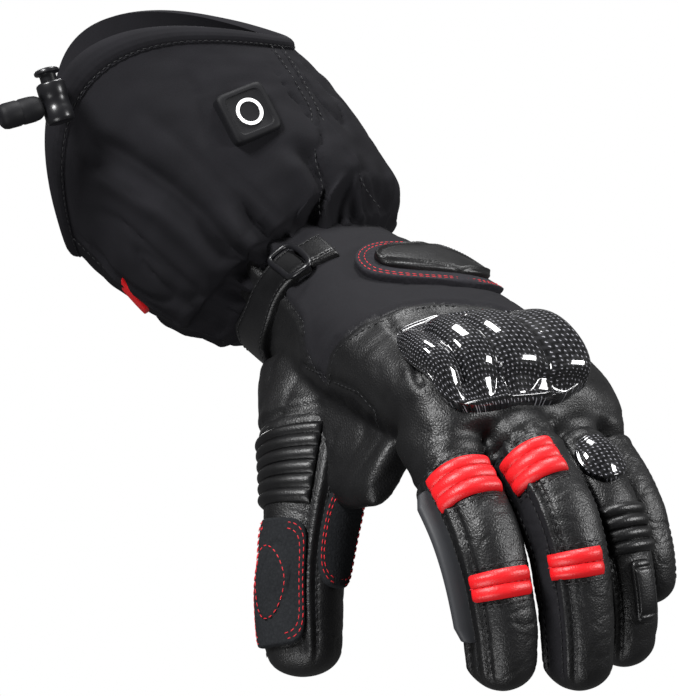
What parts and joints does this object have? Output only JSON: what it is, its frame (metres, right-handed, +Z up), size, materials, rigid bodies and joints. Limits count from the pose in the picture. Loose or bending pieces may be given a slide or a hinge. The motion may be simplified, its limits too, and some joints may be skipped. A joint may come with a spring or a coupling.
{
  "type": "heated motorcycle gauntlet glove, left hand, in the shape it has when worn",
  "caption": "Black leather and softshell heated gauntlet glove with red ribbed finger bars, carbon knuckle guard, wrist strap, power button and hem cord lock",
  "frame": {"origin": "middle of the wrist under the strap, where the glove sits on the arm", "axes": "+Z up the forearm and out of the cuff, -Y the back of the hand, -X the thumb's side"},
  "size_m": [0.1741, 0.1489, 0.3733],
  "materials": {
    "softshell": "matte black stretch softshell with a very fine weave",
    "black_leather": "soft black goat leather, half gloss, fine grain",
    "red_leather": "bright red smooth leather, half gloss",
    "suede": "black abrasion cloth with a coarse nap",
    "carbon": "carbon fibre weave under clear gloss coat",
    "rubber": "matte black rubber",
    "hard_plastic": "black moulded plastic, satin"
  },
  "bodies": {
    "glove": {"gauntlet_cuff": "softshell", "cuff_hem": "softshell", "cuff_tab": "red_leather", "power_button": "rubber", "hand_shell": "black_leather", "index_finger": "black_leather", "middle_finger": "black_leather", "ring_finger": "black_leather", "little_finger": "black_leather", "thumb": "black_leather", "index_bar_upper": "red_leather", "index_bar_lower": "red_leather", "middle_bar_upper": "red_leather", "middle_bar_lower": "red_leather", "thumb_accordion": "black_leather", "ring_accordion": "black_leather", "ring_guard": "carbon", "ring_slider": "black_leather", "thumb_patch": "suede", "crotch_patch": "suede", "palm_patch": "suede", "knuckle_guard": "carbon", "wrist_armour": "suede", "wrist_pad": "black_leather", "wrist_strap": "black_leather", "strap_anchor": "black_leather", "strap_ring": "hard_plastic", "wiper_blade": "rubber", "drawcord": "rubber", "cord_lock": "hard_plastic", "cord_pull": "rubber"},
    "plunger": {"cord_plunger": "hard_plastic"}
  },
  "joints": [
    {"name": "plunger_slide", "type": "slide", "parent": "glove", "child": "plunger", "axis": [0.06, 0.67, -0.74], "range_m": [0, 0.003], "stiffness_N_per_m": 400, "springref_m": -0.002}
  ]
}
